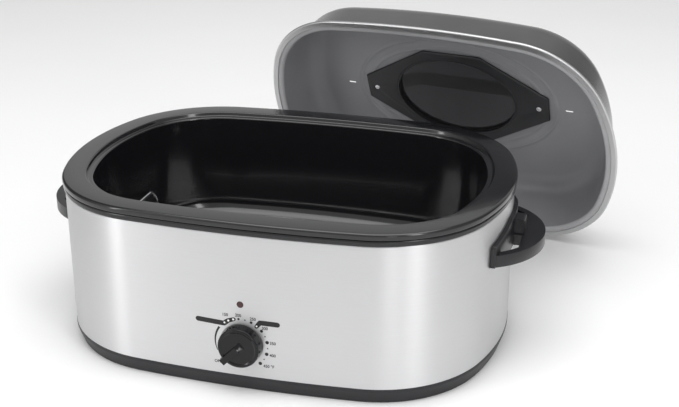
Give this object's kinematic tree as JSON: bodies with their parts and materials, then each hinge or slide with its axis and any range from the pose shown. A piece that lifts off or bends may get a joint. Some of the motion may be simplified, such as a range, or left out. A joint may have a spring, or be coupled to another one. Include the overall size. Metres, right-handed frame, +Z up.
{
  "type": "electric roaster oven",
  "caption": "Countertop electric roaster oven: oval steel body on a black tray, lift-out enamel pan with wire rack, dial and lamp in front, side handles, and its domed lid standing behind.",
  "frame": {"origin": "middle of the underside, on the plane that the feet and tray stand on", "axes": "+Z up; +X along the body's length, to the right as seen from the dial side; -Y towards the dial side, so the lid stands on the +Y side"},
  "size_m": [0.7421, 0.6884, 0.3623],
  "materials": {
    "stainless": "satin",
    "zinc_steel": "satin",
    "aluminised_steel": "matte",
    "bright_aluminium": "satin",
    "black_enamel": "gloss",
    "charcoal_enamel": "satin",
    "bright_bead": "satin",
    "tray_plastic": "satin",
    "handle_plastic": "satin",
    "knob_plastic": "gloss",
    "thermostat_ceramic": "matte",
    "foot_rubber": "matte",
    "gasket_silicone": "matte",
    "glass_fibre": "matte",
    "heater_tape": "matte",
    "lead_sleeve": "matte",
    "lens_red": "gloss",
    "neon_clear": "gloss",
    "chrome_wire": "gloss",
    "smoked_glass": "gloss",
    "screw_bright": "gloss"
  },
  "bodies": {
    "body": {"base_tray": "tray_plastic", "rubber_feet": "foot_rubber", "base_screws": "zinc_steel", "support_posts": "zinc_steel", "heat_shield": "bright_aluminium", "steel_housing": "stainless", "collar_ring": "black_enamel", "heating_well": "aluminised_steel", "heater_band": "heater_tape", "insulation_blanket": "glass_fibre", "thermostat_body": "thermostat_ceramic", "thermostat_bracket": "zinc_steel", "thermostat_nut": "zinc_steel", "lamp_lens": "lens_red", "lamp_body": "neon_clear", "right_handle": "handle_plastic", "left_handle": "handle_plastic", "handle_screws": "zinc_steel", "cord_gland": "handle_plastic", "terminal_block": "thermostat_ceramic", "inner_leads": "lead_sleeve"},
    "knob": {"thermostat_shaft": "zinc_steel", "control_knob": "knob_plastic"},
    "pan": {"roasting_pan": "black_enamel"},
    "rack": {"roasting_rack": "chrome_wire", "rack_feet": "chrome_wire", "rack_loops": "chrome_wire"},
    "lid": {"lid_shell": "charcoal_enamel", "lid_bead": "bright_bead", "window_frame": "handle_plastic", "window_gasket": "gasket_silicone", "window_glass": "smoked_glass", "lid_handle": "handle_plastic", "lid_screws": "screw_bright"}
  },
  "joints": [
    {"name": "knob_turn", "type": "hinge", "parent": "body", "child": "knob", "pos_m": [0, -0.2112, 0.0645], "axis": [0, 1, 0], "range_deg": [0, 270]},
    {"name": "pan_lift", "type": "slide", "parent": "body", "child": "pan", "axis": [0, 0, 1], "range_m": [0, 0.2]},
    {"name": "rack_lift", "type": "slide", "parent": "pan", "child": "rack", "axis": [0, 0, 1], "range_m": [0, 0.2]},
    {"name": "lid_lift", "type": "slide", "parent": "body", "child": "lid", "axis": [0, 0, 1], "range_m": [0, 0.35]}
  ]
}
